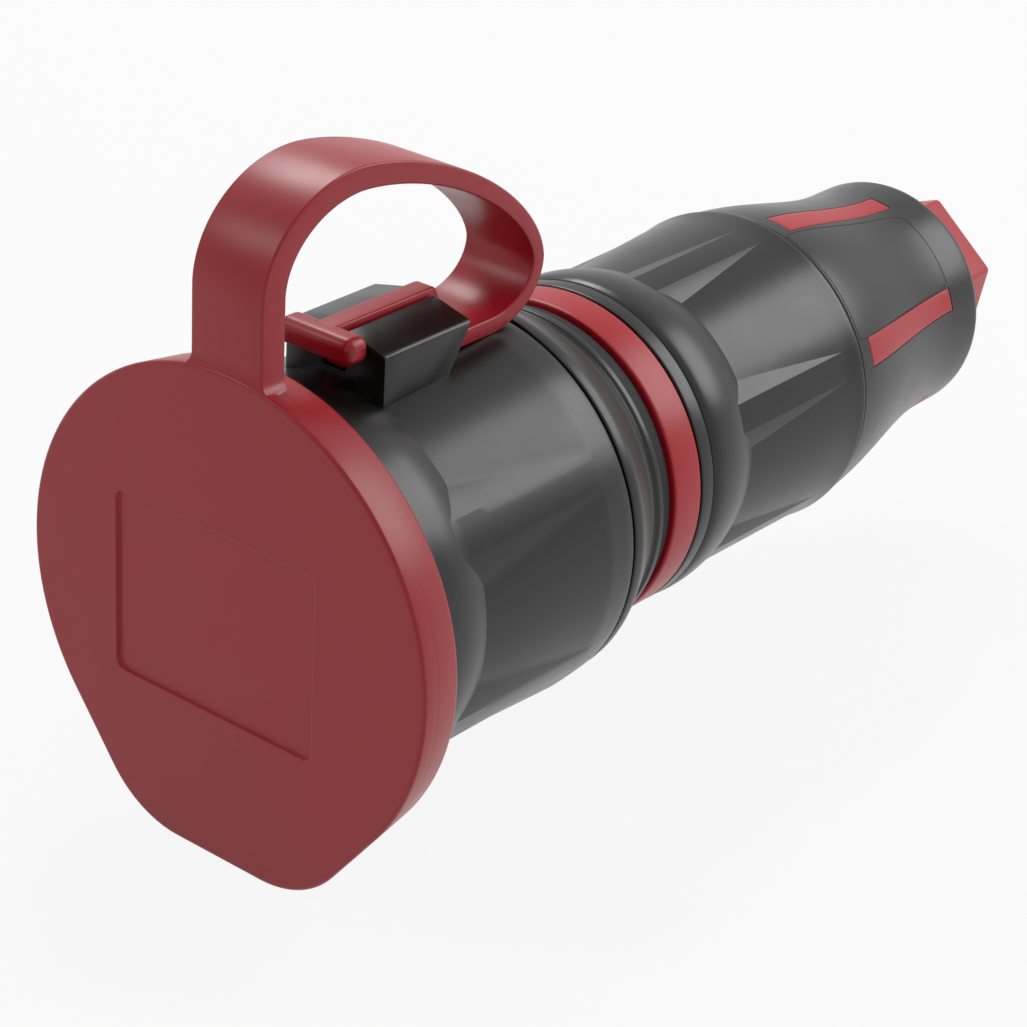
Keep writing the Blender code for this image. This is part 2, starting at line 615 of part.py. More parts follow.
# CONTACT CARRIER: the round recess, its floor and the tower of terminal chambers
floor_depth = CARRIER_START + RECESS_DEEP
floor_back = floor_depth + CARRIER_FLOOR
contact_carrier = turned("contact_carrier", [
    (0.0, TOWER_END), (TOWER_R, TOWER_END), (TOWER_R, floor_back), (CARRIER_R, floor_back),
    (CARRIER_R, CARRIER_START + 0.4), (CARRIER_R - 0.4, CARRIER_START), (RECESS_R + 0.4, CARRIER_START),
    (RECESS_R, CARRIER_START + 0.4), (RECESS_R, floor_depth), (0.0, floor_depth)], BLACK)
for side, word in ((-1.0, "left"), (1.0, "right")):
    x = side * PIN_X
    key = block("guide_key_tool_" + word,
                (min(side * GUIDE_REACH, side * (RECESS_R + 1.0)), GUIDE_START, -GUIDE_HALF),
                (max(side * GUIDE_REACH, side * (RECESS_R + 1.0)), floor_depth + 1.0, GUIDE_HALF), None)
    grow(contact_carrier, key)
    pin_way = turned("pin_way_tool_" + word, [
        (0.0, CHAMBER_START + 1.0), (SLEEVE_R + 0.4, CHAMBER_START + 1.0), (SLEEVE_R + 0.4, floor_back),
        (PIN_HOLE_R, floor_back), (PIN_HOLE_R, floor_depth - 1.0), (0.0, floor_depth - 1.0)],
        None, at=(x, 0.0, 0.0), steps=SMALL_STEPS)
    cut(contact_carrier, pin_way)
    inner = side * (PIN_X - TERMINAL[0] / 2.0 - 0.4)
    chamber = block("chamber_tool_" + word,
                    (min(inner, side * (TOWER_R + 1.0)), CHAMBER_START, -TERMINAL[2] / 2.0 - 0.4),
                    (max(inner, side * (TOWER_R + 1.0)), TOWER_END + 1.0, TERMINAL[2] / 2.0 + 0.4), None)
    cut(contact_carrier, chamber)
    hole = turned("carrier_screw_hole_tool_" + word,
                  [(0.0, TOWER_END + 1.0), (SCREW_R + FIT, TOWER_END + 1.0),
                   (SCREW_R + FIT, TOWER_END - 9.0), (0.0, TOWER_END - 9.0)],
                  None, at=(side * CARRIER_SCREW[0], 0.0, CARRIER_SCREW[1]), steps=SMALL_STEPS)
    cut(contact_carrier, hole)
    clip_side = (RECESS_R - 2.0, CLIP_LEG_Z + CLIP_THICK / 2.0 + 0.4)
    clip_low = clip_side[0] if side > 0 else -clip_side[1]
    clip_high = clip_side[1] if side > 0 else -clip_side[0]
    way = block("clip_slot_tool_" + word, (-CLIP_HALF - FIT, GUIDE_START, clip_low),
                (CLIP_HALF + FIT, floor_back + CLIP_THICK + 1.0, clip_high), None)
    cut(contact_carrier, way)
bridge = block("bridge_slot_tool", (-CLIP_HALF - FIT, floor_back, -CLIP_LEG_Z),
               (CLIP_HALF + FIT, floor_back + CLIP_THICK + 2.0 * FIT, CLIP_LEG_Z), None)
cut(contact_carrier, bridge)
earth_chamber = block("earth_chamber_tool",
                      (-TERMINAL[0] / 2.0 - 0.4, CHAMBER_START, -TOWER_R - 1.0),
                      (TERMINAL[0] / 2.0 + 0.4, TOWER_END + 1.0, EARTH_Z + TERMINAL[2] / 2.0 + 0.4), None)
cut(contact_carrier, earth_chamber)
tail_way = turned("earth_tail_tool", [
    (0.0, CHAMBER_START + 1.0), (TERMINAL_BORE_R, CHAMBER_START + 1.0),
    (TERMINAL_BORE_R, floor_back + 0.5), (0.0, floor_back + 0.5)],
    None, at=(0.0, 0.0, EARTH_Z), steps=SMALL_STEPS)
cut(contact_carrier, tail_way)

# EARTH BRACKET: one strip bent to a U, its two ends springing inward, with a tail behind
bridge_depth = floor_back + FIT + CLIP_THICK / 2.0


def strip_rings(line, half_width, thick):
    """Sections of a flat strip of constant thickness along a line of (depth, z)."""
    line = np.array(line, dtype=float)
    legs = np.diff(line, axis=0)
    legs = legs / np.linalg.norm(legs, axis=1)[:, None]
    rings = []
    for i, point in enumerate(line):
        before = legs[max(i - 1, 0)]
        after = legs[min(i, len(legs) - 1)]
        mean = before + after
        mean = mean / np.linalg.norm(mean)
        out = np.array((-mean[1], mean[0]))
        reach = thick / 2.0 / max(float(np.dot(mean, after)), 0.5)
        p, q = point + out * reach, point - out * reach
        rings.append([(-half_width, p[0], p[1]), (half_width, p[0], p[1]),
                      (half_width, q[0], q[1]), (-half_width, q[0], q[1])])
    return rings


clip_long = bridge_depth - GUIDE_START
upper = [(GUIDE_START + clip_long * share, run(CLIP_LEG_Z, CLIP_TOUCH_Z, bend))
         for share, bend in ((0.05, 0.4), (0.2, 0.85), (0.37, 0.75), (0.55, 0.05), (0.62, 0.0))]
upper += [(bridge_depth - 0.6, CLIP_LEG_Z),
         (bridge_depth, CLIP_LEG_Z - 0.6)]
lower = [(d, -z) for d, z in reversed(upper)]
earth_bracket = loft("earth_bracket", strip_rings(upper + lower, CLIP_HALF, CLIP_THICK), BRASS)
tail = block("earth_tail_strip_tool", (-1.1, bridge_depth - 0.2, EARTH_Z - 0.45),
             (1.1, CHAMBER_START + 3.6, EARTH_Z + 0.45), None)
grow(earth_bracket, tail)

# CONTACTS, TERMINALS AND SCREWS
sleeve_front = floor_back + FIT
sleeve_back = CHAMBER_START - FIT
for side, word in ((-1.0, "left"), (1.0, "right")):
    sleeve = turned("line_contact_" + word, [
        (0.0, CHAMBER_START + 3.7), (STUB_R, CHAMBER_START + 3.7), (STUB_R, sleeve_back),
        (SLEEVE_R, sleeve_back), (SLEEVE_R, sleeve_front), (SLEEVE_BORE_R, sleeve_front),
        (SLEEVE_BORE_R, sleeve_back - 1.2), (0.0, sleeve_back - 1.2)],
        BRASS, at=(side * PIN_X, 0.0, 0.0), steps=SMALL_STEPS)
    slit = block("contact_slit_tool_" + word, (side * PIN_X - 0.4, sleeve_front - 1.0, 0.5),
                 (side * PIN_X + 0.4, sleeve_back - 2.0, SLEEVE_R + 1.0), None)
    cut(sleeve, slit)


def terminal(word, x, z, reach, lean):
    """A brass clamp block with a bore along the axis and a screw from outside."""
    front = CHAMBER_START + FIT
    body = block("terminal_" + word, (x - TERMINAL[0] / 2.0, front, z - TERMINAL[2] / 2.0),
                 (x + TERMINAL[0] / 2.0, front + TERMINAL[1], z + TERMINAL[2] / 2.0), BRASS, 0.3)
    bore = turned("terminal_bore_tool_" + word, [
        (0.0, front + TERMINAL[1] + 1.0), (TERMINAL_BORE_R, front + TERMINAL[1] + 1.0),
        (TERMINAL_BORE_R, front - 1.0), (0.0, front - 1.0)],
        None, at=(x, 0.0, z), steps=SMALL_STEPS)
    cut(body, bore)
    middle = front + TERMINAL[1] * 0.55
    thread = turned("terminal_thread_tool_" + word, [
        (0.0, reach + 1.0), (SCREW_R + FIT, reach + 1.0), (SCREW_R + FIT, 1.0), (0.0, 1.0)],
        None, at=(x, middle, z), lean=lean, steps=SMALL_STEPS)
    cut(body, thread)
    screw = turned("terminal_screw_" + word, [
        (0.0, reach + FIT + SCREW_HEAD), (SCREW_HEAD_R - 0.3, reach + FIT + SCREW_HEAD),
        (SCREW_HEAD_R, reach + FIT + SCREW_HEAD - 0.3), (SCREW_HEAD_R, reach + FIT),
        (SCREW_R, reach + FIT), (SCREW_R, TERMINAL_BORE_R + 0.3), (0.0, TERMINAL_BORE_R + 0.3)],
        STEEL, at=(x, middle, z), lean=lean, steps=SMALL_STEPS)
    return body, screw


terminal("left", -PIN_X, 0.0, TERMINAL[0] / 2.0, (0.0, -90.0))
terminal("right", PIN_X, 0.0, TERMINAL[0] / 2.0, (0.0, 90.0))
terminal("earth", 0.0, EARTH_Z, TERMINAL[2] / 2.0, (180.0, 0.0))

cover_front = TOWER_END + FIT
carrier_cover = turned("carrier_cover", [
    (0.0, cover_front + COVER_THICK), (TOWER_R - 0.4, cover_front + COVER_THICK),
    (TOWER_R, cover_front + COVER_THICK - 0.4), (TOWER_R, cover_front), (0.0, cover_front)], GREY)
for number, (x, z, r) in enumerate(((PIN_X, 0.0, 2.2), (-PIN_X, 0.0, 2.2), (0.0, EARTH_Z, 2.2),
                                    (CARRIER_SCREW[0], CARRIER_SCREW[1], SCREW_R + FIT),
                                    (-CARRIER_SCREW[0], CARRIER_SCREW[1], SCREW_R + FIT))):
    hole = turned("cover_hole_tool_%d" % (number + 1),
                  [(0.0, cover_front + COVER_THICK + 1.0), (r, cover_front + COVER_THICK + 1.0),
                   (r, cover_front - 1.0), (0.0, cover_front - 1.0)],
                  None, at=(x, 0.0, z), steps=SMALL_STEPS)
    cut(carrier_cover, hole)
for side, word in ((-1.0, "left"), (1.0, "right")):
    head = cover_front + COVER_THICK + FIT
    turned("carrier_screw_" + word, [
        (0.0, head + SCREW_HEAD), (SCREW_HEAD_R - 0.3, head + SCREW_HEAD),
        (SCREW_HEAD_R, head + SCREW_HEAD - 0.3), (SCREW_HEAD_R, head), (SCREW_R, head),
        (SCREW_R, TOWER_END - 8.0), (0.0, TOWER_END - 8.0)],
        STEEL, at=(side * CARRIER_SCREW[0], 0.0, CARRIER_SCREW[1]), steps=SMALL_STEPS)

# RINGS BETWEEN THE HOUSINGS
spigot_start = COLLAR_START - COLLAR_SPIGOT
turned("front_collar", [
    (COLLAR_BORE_R, spigot_start), (FRONT_BORE_R - FIT, spigot_start), (FRONT_BORE_R - FIT, COLLAR_START),
    (COLLAR_STEP[1] - 0.3, COLLAR_START), (COLLAR_STEP[1], COLLAR_START + 0.3), COLLAR_STEP[::-1],
    COLLAR_CONE[::-1], (COLLAR_CONE[1] - GROOVE, COLLAR_CONE[0]),
    (COLLAR_CONE[1] - GROOVE, COLLAR_CONE[0] + 0.4), (COLLAR_END[1], COLLAR_CONE[0] + 0.6),
    COLLAR_END[::-1], (COLLAR_BORE_R, COLLAR_END[0])], GREY)
turned("seal_ring", tube(SEAL_R[0], SEAL_R[1], SEAL_DEPTH), RUBBER)
turned("locking_ring", chamfered_tube(SEAL_R[0], LOCK_R, LOCK_DEPTH, 0.3), RED)
turned("threaded_sleeve", [
    (TUBE_R[0], TUBE_DEPTH[0]), (TUBE_R[1], TUBE_DEPTH[0]),
    (TUBE_R[1], BAND_DEPTH[0]), (BAND_R - 0.2, BAND_DEPTH[0]), (BAND_R, BAND_DEPTH[0] + 0.2),
    (BAND_R, BAND_DEPTH[1] - 0.2), (BAND_R - 0.2, BAND_DEPTH[1]), (TUBE_R[1], BAND_DEPTH[1]),
    (TUBE_R[1], TUBE_DEPTH[1]), (TUBE_R[0], TUBE_DEPTH[1])], GREY)

# GLAND: slotted clamp cage, rubber seal and the hexagonal nut
clamp_cage = turned("clamp_cage", tube(CAGE_R[0], CAGE_R[1], CAGE_DEPTH), PALE, steps=36)
for number in range(4):
    turn = math.radians(45.0 * number + 22.5)
    c, s = math.cos(turn), math.sin(turn)
    flat = []
    for u, v in ((-20.0, -0.8), (20.0, -0.8), (20.0, 0.8), (-20.0, 0.8)):
        flat.append((u * c - v * s, u * s + v * c))
    slit = loft("cage_slit_tool_%d" % (number + 1),
                [[(x, CAGE_DEPTH[0] + CAGE_RING, z) for x, z in flat],
                 [(x, CAGE_DEPTH[1] + 1.0, z) for x, z in flat]], None)
    cut(clamp_cage, slit)
turned("cable_seal", tube(CABLE_SEAL_R[0], CABLE_SEAL_R[1], CABLE_SEAL_DEPTH), RUBBER, steps=36)


def hexagon(reach, depth):
    return circle(reach, depth, [math.radians(NUT_TURN + 60.0 * k) for k in range(6)])


gland_nut = loft("gland_nut", [hexagon(NUT_CORNER_R, NUT_DEPTH[0]),
                               hexagon(NUT_CORNER_R, NUT_DEPTH[1] - NUT_CHAMFER),
                               hexagon(NUT_CORNER_R - NUT_CHAMFER, NUT_DEPTH[1])], RED)
spigot = turned("nut_spigot_tool", [
    (0.0, NUT_DEPTH[0] + 0.6), (THROAT_R - FIT, NUT_DEPTH[0] + 0.6),
    (THROAT_R - FIT, NUT_SPIGOT_START), (0.0, NUT_SPIGOT_START)], None, steps=48)
nut_bore = turned("nut_bore_tool", [
    (0.0, NUT_DEPTH[1] + 1.0), (NUT_BORE_R, NUT_DEPTH[1] + 1.0),
    (NUT_BORE_R, NUT_SPIGOT_START - 1.0), (0.0, NUT_SPIGOT_START - 1.0)], None, steps=36)
grow(gland_nut, spigot)
cut(gland_nut, nut_bore)
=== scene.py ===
# %% [markdown]
# # A cable socket with a sealing cap
# This lesson dresses the solids of a round cable socket.  Its long axis lies along +Y: the
# sealing cap looks towards -Y, the hexagonal gland nut is at the far end, and +Z is up.
# Positions along the axis are given as a depth in millimetres behind the flat face of the cap.
# Every shape is a grid of points worked out with numpy, so each piece is a short formula.

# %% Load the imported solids
import json
import math

import bpy
import numpy as np
from mathutils import Matrix


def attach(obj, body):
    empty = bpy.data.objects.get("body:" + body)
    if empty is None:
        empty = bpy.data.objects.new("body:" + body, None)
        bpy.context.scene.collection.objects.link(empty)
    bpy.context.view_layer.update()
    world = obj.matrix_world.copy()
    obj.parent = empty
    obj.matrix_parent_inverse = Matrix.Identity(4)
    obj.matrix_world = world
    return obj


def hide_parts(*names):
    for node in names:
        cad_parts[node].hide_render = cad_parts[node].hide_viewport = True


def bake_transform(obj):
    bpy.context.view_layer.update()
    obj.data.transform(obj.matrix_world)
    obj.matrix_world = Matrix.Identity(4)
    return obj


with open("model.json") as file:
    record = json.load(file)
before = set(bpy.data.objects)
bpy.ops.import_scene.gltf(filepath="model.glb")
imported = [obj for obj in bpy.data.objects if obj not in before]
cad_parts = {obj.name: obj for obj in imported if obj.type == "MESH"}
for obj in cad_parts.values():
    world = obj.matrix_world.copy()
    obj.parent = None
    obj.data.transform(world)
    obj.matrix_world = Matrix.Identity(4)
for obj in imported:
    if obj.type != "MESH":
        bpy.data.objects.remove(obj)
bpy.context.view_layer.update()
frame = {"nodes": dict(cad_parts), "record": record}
MM = 0.001
FACE = 0.5

# %% [markdown]
# ## The camera
# The photograph was taken from the right of the cap and from above.  The view was found by
# fitting eight circles of the socket: its place, its turn and its lens are the numbers below.
# The cap in the photograph is turned a little on the housing, so the view is turned by a part of that.

# %% Camera
AZIMUTH, ELEVATION, ROLL = (math.radians(a) for a in (37.990, 26.320, 2.512))
VIEW_TURN = math.radians(-1.2)
FOCAL_PIXELS, PHOTO_PIXELS = 2925.5, 1027.0
STAND = np.array((207.763, -212.198 - FACE, 161.249))
back = np.array((math.sin(AZIMUTH) * math.cos(ELEVATION),
                 -math.cos(AZIMUTH) * math.cos(ELEVATION), math.sin(ELEVATION)))
level = np.array((math.cos(AZIMUTH), math.sin(AZIMUTH), 0.0))
rise = np.cross(back, level)
right = level * math.cos(ROLL) + rise * math.sin(ROLL)
up = rise * math.cos(ROLL) - level * math.sin(ROLL)


def about_axis(vector, turn):
    """Turns a vector about the Y axis: x' = x cos + z sin, z' = z cos - x sin."""
    x, y, z = vector
    return np.array((x * math.cos(turn) + z * math.sin(turn), y,
                     z * math.cos(turn) - x * math.sin(turn)))


stand, right, up, back = (about_axis(v, VIEW_TURN) for v in (STAND, right, up, back))
lens = bpy.data.cameras.new("studio_camera")
lens.sensor_width = 36.0
lens.lens = FOCAL_PIXELS / PHOTO_PIXELS * lens.sensor_width
lens.clip_start = 0.01
camera = bpy.data.objects.new("studio_camera", lens)
bpy.context.scene.collection.objects.link(camera)
matrix = np.eye(4)
matrix[:3, 0], matrix[:3, 1], matrix[:3, 2], matrix[:3, 3] = right, up, back, stand * MM
camera.matrix_world = Matrix(matrix.tolist())
bpy.context.scene.camera = camera
bpy.context.scene.view_settings.view_transform = "Standard"
print("lens %.2f mm, camera at" % lens.lens, np.round(stand))

# %% [markdown]
# ## Grids into meshes
# A closed surface is a grid of points: one direction runs round a section, the other carries the
# section along.  A solid bar closes with a flat face at each end, a ring closes onto its first
# section.  The signed volume tells whether the faces look outward, and turns them if not.

# %% Helpers for grids
def to_place(x, depth, z):
    """Millimetres (x, depth behind the cap face, height) into metres of the model."""
    x, depth, z = np.broadcast_arrays(np.asarray(x, float), depth, z)
    return np.stack([x, depth - FACE, z], axis=-1) * MM


def around(radius, depth, turn):
    """A point at an angle (degrees from +Z towards +X): x = r sin, z = r cos."""
    turn = np.radians(turn)
    return to_place(radius * np.sin(turn), depth, radius * np.cos(turn))


def grid_faces(rows, cols, ring):
    """Quads of a grid whose rows close on themselves; ring also joins the last row to the first."""
    i, j = np.meshgrid(np.arange(rows if ring else rows - 1), np.arange(cols), indexing="ij")
    here, there = i * cols, (i + 1) % rows * cols
    beside = (j + 1) % cols
    return np.stack([here + j, here + beside, there + beside, there + j], -1).reshape(-1, 4)


def piece(name, grids, body, finish, ring=False, edge=28.0):
    """Builds one object from closed grids and lets it ride a body."""
    points, quads, ends, start = [], [], [], 0
    for grid in grids:
        rows, cols = grid.shape[:2]
        flat = grid.reshape(-1, 3)
        faces = grid_faces(rows, cols, ring)
        a, b, c, d = (flat[faces[:, k]] for k in range(4))
        bulk = np.einsum("ij,ij->", a, np.cross(b, c)) + np.einsum("ij,ij->", a, np.cross(c, d))
        caps = [] if ring else [np.arange(cols)[::-1], (rows - 1) * cols + np.arange(cols)]
        for cap in caps:
            p = flat[cap]
            bulk += np.einsum("j,ij->", p[0], np.cross(p[1:-1], p[2:]))
        if bulk < 0.0:
            faces = faces[:, ::-1]
            caps = [cap[::-1] for cap in caps]
        points.append(flat)
        quads.append(faces + start)
        ends += [(cap + start).tolist() for cap in caps]
        start += len(flat)
    mesh = bpy.data.meshes.new(name)
    mesh.from_pydata(np.concatenate(points).tolist(), [], np.concatenate(quads).tolist() + ends)
    mesh.shade_smooth()
    mesh.set_sharp_from_angle(angle=math.radians(edge))
    made = bpy.data.objects.new(name, mesh)
    bpy.context.scene.collection.objects.link(made)
    made.data.materials.append(finish)
    if body:
        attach(made, body)
    print("%s: %d faces" % (name, len(mesh.polygons)))
    return made


def rounded(profile, radius, steps=5):
    """Rounds the corners of a closed outline: each corner becomes a quadratic curve whose ends
    lie 'radius' before and after it (radius may differ from corner to corner)."""
    profile = np.asarray(profile, float)
    radius = np.broadcast_to(np.asarray(radius, float), len(profile))
    out = []
    for before, here, after, r in zip(np.roll(profile, 1, 0), profile, np.roll(profile, -1, 0), radius):
        if r <= 0.0:
            out.append(here[None])
            continue
        a = before - here
        b = after - here
        start = here + a / np.linalg.norm(a) * min(r, np.linalg.norm(a) * 0.49)
        stop = here + b / np.linalg.norm(b) * min(r, np.linalg.norm(b) * 0.49)
        t = np.linspace(0.0, 1.0, steps)[:, None]
        out.append((1 - t) ** 2 * start + 2 * t * (1 - t) * here + t ** 2 * stop)
    return np.concatenate(out)


def lathe(profile, columns=256):
    """A closed profile of (radius, depth) carried round the long axis."""
    turn = np.arange(columns) * 360.0 / columns
    return around(profile[:, 0][:, None], profile[:, 1][:, None], turn[None, :])

# %% [markdown]
# ## Finishes
# All mouldings are satin plastic or rubber: a plain colour with very fine grain.  The grain is noise
# on object coordinates that feeds a weak bump and a small change of roughness, so that highlights
# break up softly as on a moulded surface.  Metal parts inside are brass and steel with a finer grain of the
# same kind.

# %% Finishes
def moulded(name, colour, roughness, grain=0.012, scale=2400.0, vary=0.05):
    """Satin moulding: colour, a band of roughness from coarse noise, and fine bump."""
    made = bpy.data.materials.new(name)
    made.use_nodes = True
    nodes, links = made.node_tree.nodes, made.node_tree.links
    shader = nodes["Principled BSDF"]
    shader.inputs["Base Color"].default_value = (*colour, 1.0)
    where = nodes.new("ShaderNodeTexCoord")
    coarse = nodes.new("ShaderNodeTexNoise")
    coarse.inputs["Scale"].default_value = scale / 12.0
    coarse.inputs["Detail"].default_value = 3.0
    fine = nodes.new("ShaderNodeTexNoise")
    fine.inputs["Scale"].default_value = scale
    fine.inputs["Detail"].default_value = 2.0
    spread = nodes.new("ShaderNodeMapRange")
    spread.inputs["To Min"].default_value = roughness - vary
    spread.inputs["To Max"].default_value = roughness + vary
    bump = nodes.new("ShaderNodeBump")
    bump.inputs["Strength"].default_value = 0.25
    bump.inputs["Distance"].default_value = grain * MM
    links.new(where.outputs["Object"], coarse.inputs["Vector"])
    links.new(where.outputs["Object"], fine.inputs["Vector"])
    links.new(coarse.outputs["Fac"], spread.inputs["Value"])
    links.new(spread.outputs["Result"], shader.inputs["Roughness"])
    links.new(fine.outputs["Fac"], bump.inputs["Height"])
    links.new(bump.outputs["Normal"], shader.inputs["Normal"])
    return made


def turned_metal(name, colour, roughness):
    """Bare metal: the moulded finish with a finer grain of noise, made fully metallic."""
    made = moulded(name, colour, roughness, grain=0.004, scale=5000.0, vary=0.08)
    shader = made.node_tree.nodes["Principled BSDF"]
    shader.inputs["Metallic"].default_value = 1.0
    return made


cap_red = moulded("cap_red", (0.41, 0.006, 0.014), 0.36)
trim_red = moulded("trim_red", (0.50, 0.008, 0.018), 0.38)
body_black = moulded("body_black", (0.004, 0.004, 0.0037), 0.30)
ring_grey = moulded("ring_grey", (0.0045, 0.004, 0.004), 0.32)
seal_black = moulded("seal_black", (0.010, 0.010, 0.010), 0.7)
cage_pale = moulded("cage_pale", (0.45, 0.45, 0.43), 0.5)
clip_brass = turned_metal("clip_brass", (0.75, 0.52, 0.22), 0.3)
screw_steel = turned_metal("screw_steel", (0.6, 0.6, 0.62), 0.3)
print("finishes:", [m.name for m in bpy.data.materials if m.use_nodes][:12])

# %% [markdown]
# ## The sealing cap
# The cap is a thin round plate with a skirt behind it and a lug below, cut straight at its foot.  A
# shallow rectangular panel is sunk into its face.  It could be a disc with a cut; here every ring of
# points is an outline instead, first the panel's, then the plate's, then the skirt's, so the small
# roundings between them are only more rings.

# %% Outline of the cap
CAP_R, CAP_EDGE, DRAFT = 31.0, 0.45, 0.14
LUG_FLAT, LUG_CORNER, LUG_CORNER_X = 32.8, 14.0, 6.87
LUG_TANGENT = math.radians(52.0)
cap_turn = np.arange(720) * 0.5


def lug_reach(turn):
    """Reach of the plate's edge: the circle, the tangent of the lug, its round corner, its flat foot."""
    low = np.abs(np.pi - np.radians(turn))
    corner_z = LUG_CORNER - LUG_FLAT
    tip = math.atan2(LUG_CORNER_X + LUG_CORNER * math.sin(LUG_TANGENT),
                     LUG_CORNER * math.cos(LUG_TANGENT) - corner_z)
    along = LUG_CORNER_X * np.sin(low) - corner_z * np.cos(low)
    inside = LUG_CORNER ** 2 - LUG_CORNER_X ** 2 - corner_z ** 2 + along ** 2
    return np.select(
        [low >= LUG_TANGENT, low >= tip, low >= math.atan2(LUG_CORNER_X, LUG_FLAT)],
        [np.full_like(low, CAP_R), CAP_R / np.cos(LUG_TANGENT - low),
         along + np.sqrt(np.maximum(inside, 0.0))],
        LUG_FLAT / np.cos(low))


def panel_reach(turn, inset):
    """Reach of the panel's outline, a rectangle with round corners, seen from the axis."""
    corners = np.array([(14.4 - inset, 10.9 - inset), (-17.1 + inset, 10.9 - inset),
                        (-17.1 + inset, -13.2 + inset), (14.4 - inset, -13.2 + inset)])
    line = rounded(corners, 1.5, 9)
    closed = np.concatenate([line, line[:1]])
    dense = np.concatenate([a + (b - a) * np.linspace(0, 1, 60, endpoint=False)[:, None]
                            for a, b in zip(closed[:-1], closed[1:])])
    angle = np.degrees(np.arctan2(dense[:, 0], dense[:, 1])) % 360.0
    order = np.argsort(angle)
    return np.interp(turn, angle[order], np.hypot(dense[:, 0], dense[:, 1])[order], period=360.0)


def skirt_radius(depth):
    """Radius of the cap behind its front edge: it tapers by DRAFT for each millimetre of depth."""
    return CAP_R - DRAFT * (depth - CAP_EDGE)


# %% [markdown]
# ## The cap as rings of points
# The rings run from the middle of the panel over the face and the rim, round the skirt and back to
# the axis on the inside, where a low collar centres the cap on the socket.  All rings have 720
# points, so the round skirt and the lug's straight edges share one grid.

# %% Sealing cap
rim = lug_reach(cap_turn)
floor_line = panel_reach(cap_turn, 0.30)
wall_line = panel_reach(cap_turn, 0.10)
top_line = panel_reach(cap_turn, -0.05)
rows = [(panel_reach(cap_turn, 0.5) * s, 0.5) for s in (0.05, 0.5, 1.0)] + [(floor_line, 0.495)]
rows += [(panel_reach(cap_turn, 0.16), 0.46), (wall_line, 0.36), (panel_reach(cap_turn, 0.04), 0.06),
         (panel_reach(cap_turn, 0.0), 0.015), (top_line, 0.0), (panel_reach(cap_turn, -0.3), 0.0)]
rows += [(top_line + (rim - CAP_EDGE - top_line) * s, 0.0) for s in (0.3, 0.6, 0.97, 0.99)]
rows += [(rim - CAP_EDGE * (1 - math.sin(a)), CAP_EDGE * (1 - math.cos(a)))
         for a in np.radians(np.linspace(0, 90, 8))]
back_edge = np.maximum(rim - DRAFT * (2.1 - CAP_EDGE), skirt_radius(2.1))
rows += [(back_edge, 2.1), (np.maximum(rim - 0.35, skirt_radius(2.4)), 2.45),
         (np.maximum(rim - 0.7, skirt_radius(2.6)), 2.6)]
lug_root = skirt_radius(2.6) + np.clip(rim - 0.7 - skirt_radius(2.6), 0.0, 0.5)
rows += [(lug_root, 2.62), (np.full(720, skirt_radius(3.1)), 3.1)]
rows += [(np.full(720, r), d) for r, d in (
    (skirt_radius(6.2), 6.2), (skirt_radius(6.5) - 0.08, 6.55), (skirt_radius(6.8) - 0.3, 6.76),
    (skirt_radius(6.8) - 0.5, 6.8), (27.6, 6.8), (27.3, 6.7), (27.2, 6.4), (27.2, 2.6), (18.9, 2.6),
    (18.9, 5.0), (18.7, 5.2), (17.6, 5.2), (17.4, 5.0), (17.4, 2.6), (1.0, 2.6))]
cap_grid = np.stack([around(np.broadcast_to(r, 720), np.full(720, d), cap_turn) for r, d in rows])
cap = piece("sealing_cap_moulding", [cap_grid], "cap", cap_red, edge=35.0)
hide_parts("sealing_cap")

# %% [markdown]
# ## The strap
# Cap, strap and crossbar are one moulding on the real socket.  The strap rises from the cap, arches
# over, comes down steeply behind and turns forward onto the housing.  It is a rounded rectangle
# carried along that line.  It bends when the cap opens; here it is left in place and rides no body.

# %% Path and section of the strap
def strap_line(count):
    """Middle line (depth, height), thickness and unit direction: a straight leg, a quarter ellipse,
    a superellipse of power 1.6, a small quarter ellipse and a straight foot, evenly spaced."""
    t = np.linspace(0.0, 1.0, 200)[1:] * np.pi / 2
    leg = np.stack([np.full(40, 2.3), np.linspace(28.6, 40.0, 40)], 1)
    arch = np.stack([16.1 - 13.8 * np.cos(t), 40.0 + 11.15 * np.sin(t)], 1)
    fall = np.stack([16.1 + 32.85 * np.sin(t) ** 1.25, 32.6 + 18.55 * np.cos(t) ** 1.25], 1)
    turn = np.stack([40.5 + 8.45 * np.cos(t), 32.6 - 6.4 * np.sin(t)], 1)
    foot = np.stack([np.linspace(40.5, 31.4, 30)[1:], np.full(29, 26.2)], 1)
    line = np.concatenate([leg, arch, fall, turn, foot])
    gone = np.concatenate([[0.0], np.cumsum(np.linalg.norm(np.diff(line, axis=0), axis=1))])
    even = np.linspace(0.0, gone[-1], count)
    line = np.stack([np.interp(even, gone, line[:, 0]), np.interp(even, gone, line[:, 1])], 1)
    way = np.gradient(line, axis=0)
    way /= np.linalg.norm(way, axis=1)[:, None]
    bend = np.degrees(np.arctan2(line[:, 1] - 40.0, 16.1 - line[:, 0]))
    thick = np.where(line[:, 0] < 16.1, np.interp(bend, (0.0, 90.0), (3.8, 3.0)),
                     np.interp(line[:, 0], (16.1, 27.0, 48.9), (3.0, 2.62, 2.06)))
    thick = np.where((line[:, 1] < 33.0) & (line[:, 0] > 30.0), 2.1, thick)
    return line, thick, way


